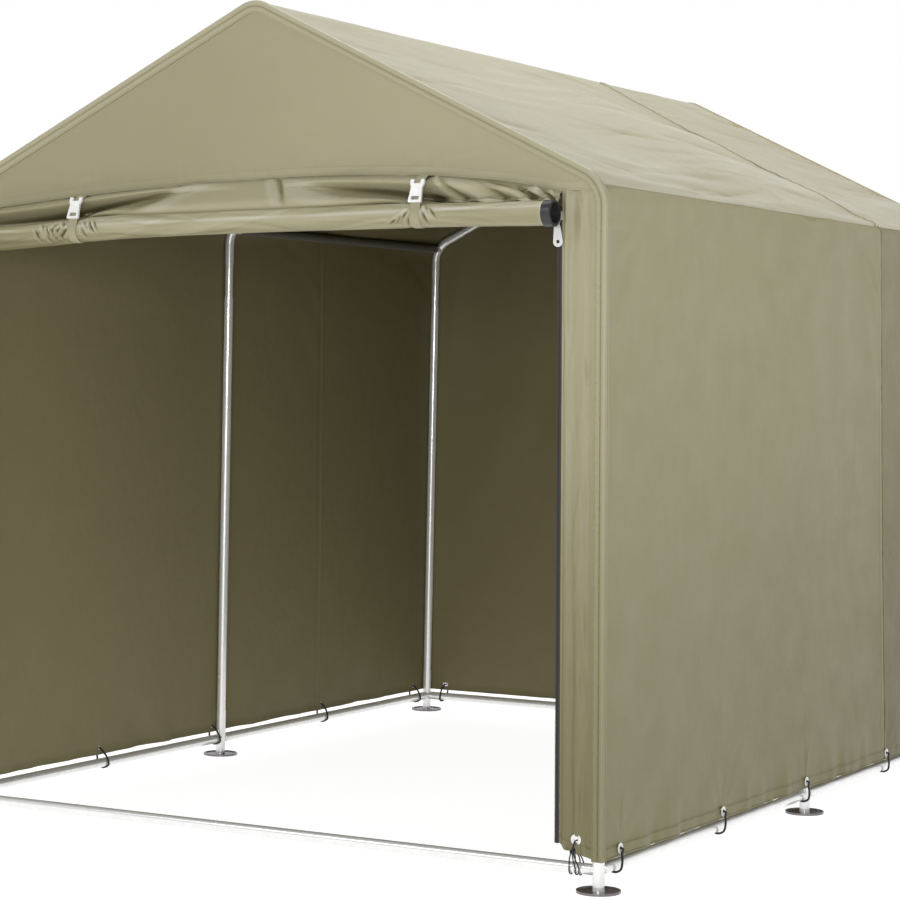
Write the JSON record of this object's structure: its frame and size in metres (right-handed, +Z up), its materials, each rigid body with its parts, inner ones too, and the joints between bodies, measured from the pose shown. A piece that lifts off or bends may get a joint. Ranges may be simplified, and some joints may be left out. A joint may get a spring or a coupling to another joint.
{
  "type": "bike shelter",
  "caption": "Bike shelter with a gabled steel pipe frame on round feet and a fabric cover, open at the front, where the door is rolled up and strapped under the gable",
  "frame": {"origin": "on the ground under the middle of the whole shelter's box", "axes": "+Z up, the open front faces -Y, +X to the right as seen from the front"},
  "size_m": [1.903, 2.5473, 1.9648],
  "materials": {
    "frame": "smooth white powder coat",
    "foot_plate": "dark grey gloss coat",
    "cloth": "coated woven cloth, olive grey, soft sheen",
    "roll_pole": "matte charcoal",
    "strap": "woven webbing in the cover's colour",
    "buckle": "moulded white plastic",
    "zip_tape": "charcoal zip tape with moulded teeth",
    "zip_metal": "bright plated metal",
    "grommet": "satin pressed metal",
    "elastic": "black braided elastic cord"
  },
  "bodies": {
    "root": {"foot_plates": "foot_plate", "foot_front_left": "frame", "post_front_left": "frame", "rafter_front_left": "frame", "foot_mid_left": "frame", "post_mid_left": "frame", "rafter_mid_left": "frame", "foot_rear_left": "frame", "post_rear_left": "frame", "rafter_rear_left": "frame", "base_rail_left": "frame", "eave_rail_left": "frame", "eave_fittings_left": "frame", "wall_left": "cloth", "roof_left": "cloth", "front_strip_left": "cloth", "foot_front_right": "frame", "post_front_right": "frame", "rafter_front_right": "frame", "foot_mid_right": "frame", "post_mid_right": "frame", "rafter_mid_right": "frame", "foot_rear_right": "frame", "post_rear_right": "frame", "rafter_rear_right": "frame", "base_rail_right": "frame", "eave_rail_right": "frame", "eave_fittings_right": "frame", "wall_right": "cloth", "roof_right": "cloth", "front_strip_right": "cloth", "base_rail_front": "frame", "base_rail_rear": "frame", "ridge_rail": "frame", "ridge_fittings": "frame", "gable_front": "cloth", "back_panel": "cloth", "rolled_door": "cloth", "roll_pole": "roll_pole", "roll_straps": "strap", "strap_buckles": "buckle", "zip_tapes": "zip_tape", "zip_pulls": "zip_metal", "grommets": "grommet", "hem_ties": "elastic"}
  },
  "joints": []
}
